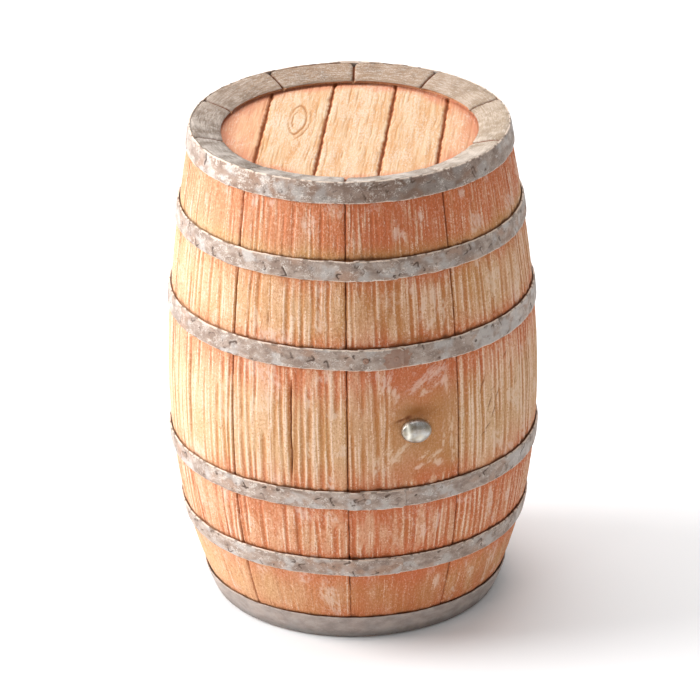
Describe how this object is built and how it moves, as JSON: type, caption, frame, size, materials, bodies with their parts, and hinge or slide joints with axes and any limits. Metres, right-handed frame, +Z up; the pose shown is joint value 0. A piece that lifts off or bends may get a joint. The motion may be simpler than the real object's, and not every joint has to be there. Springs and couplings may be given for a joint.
{
  "type": "oak wine barrel",
  "caption": "Upright oak wine barrel: bulging coopered staves, recessed jointed heads, riveted steel hoops, and a metal-capped bung at the bilge that pulls straight out.",
  "frame": {"origin": "centre of the base, on the plane that the barrel stands on", "axes": "+Z up along the barrel's axis; -Y out along the bung's axis; +X to the right seen from the bung's side"},
  "size_m": [0.7087, 0.7189, 0.95],
  "materials": {
    "stave_oak": "rough weathered oak, deep vertical grain, orange stain by the hoops and pale wear on the ridges",
    "head_oak": "rough pale oak boards with open dark joints",
    "dowel_oak": "plain oak pegs",
    "hoop_steel": "hammered, pitted grey steel strip with pale worn patches",
    "rivet_steel": "hammered steel",
    "plug_silicone": "matt tan silicone",
    "cap_metal": "smooth silvery metal, softly polished"
  },
  "bodies": {
    "barrel": {"bung_stave": "stave_oak", "stave_02": "stave_oak", "stave_03": "stave_oak", "stave_04": "stave_oak", "stave_05": "stave_oak", "stave_06": "stave_oak", "stave_07": "stave_oak", "stave_08": "stave_oak", "stave_09": "stave_oak", "stave_10": "stave_oak", "top_head_board_1": "head_oak", "top_head_board_2": "head_oak", "top_head_board_3": "head_oak", "top_head_board_4": "head_oak", "top_head_board_5": "head_oak", "bottom_head_board_1": "head_oak", "bottom_head_board_2": "head_oak", "bottom_head_board_3": "head_oak", "bottom_head_board_4": "head_oak", "bottom_head_board_5": "head_oak", "top_dowel_1a": "dowel_oak", "top_dowel_1b": "dowel_oak", "top_dowel_2a": "dowel_oak", "top_dowel_2b": "dowel_oak", "top_dowel_3a": "dowel_oak", "top_dowel_3b": "dowel_oak", "top_dowel_4a": "dowel_oak", "top_dowel_4b": "dowel_oak", "bottom_dowel_1a": "dowel_oak", "bottom_dowel_1b": "dowel_oak", "bottom_dowel_2a": "dowel_oak", "bottom_dowel_2b": "dowel_oak", "bottom_dowel_3a": "dowel_oak", "bottom_dowel_3b": "dowel_oak", "bottom_dowel_4a": "dowel_oak", "bottom_dowel_4b": "dowel_oak", "top_head_hoop": "hoop_steel", "top_quarter_hoop": "hoop_steel", "top_bilge_hoop": "hoop_steel", "bottom_bilge_hoop": "hoop_steel", "bottom_quarter_hoop": "hoop_steel", "bottom_head_hoop": "hoop_steel", "top_head_hoop_rivet_a": "rivet_steel", "top_head_hoop_rivet_b": "rivet_steel", "top_quarter_hoop_rivet_a": "rivet_steel", "top_quarter_hoop_rivet_b": "rivet_steel", "top_bilge_hoop_rivet_a": "rivet_steel", "top_bilge_hoop_rivet_b": "rivet_steel", "bottom_bilge_hoop_rivet_a": "rivet_steel", "bottom_bilge_hoop_rivet_b": "rivet_steel", "bottom_quarter_hoop_rivet_a": "rivet_steel", "bottom_quarter_hoop_rivet_b": "rivet_steel", "bottom_head_hoop_rivet_a": "rivet_steel", "bottom_head_hoop_rivet_b": "rivet_steel"},
    "bung": {"bung_plug": "plug_silicone", "bung_cap": "cap_metal"}
  },
  "joints": [
    {"name": "bung_pull", "type": "slide", "parent": "barrel", "child": "bung", "axis": [0, -1, 0], "range_m": [0, 0.08]}
  ]
}
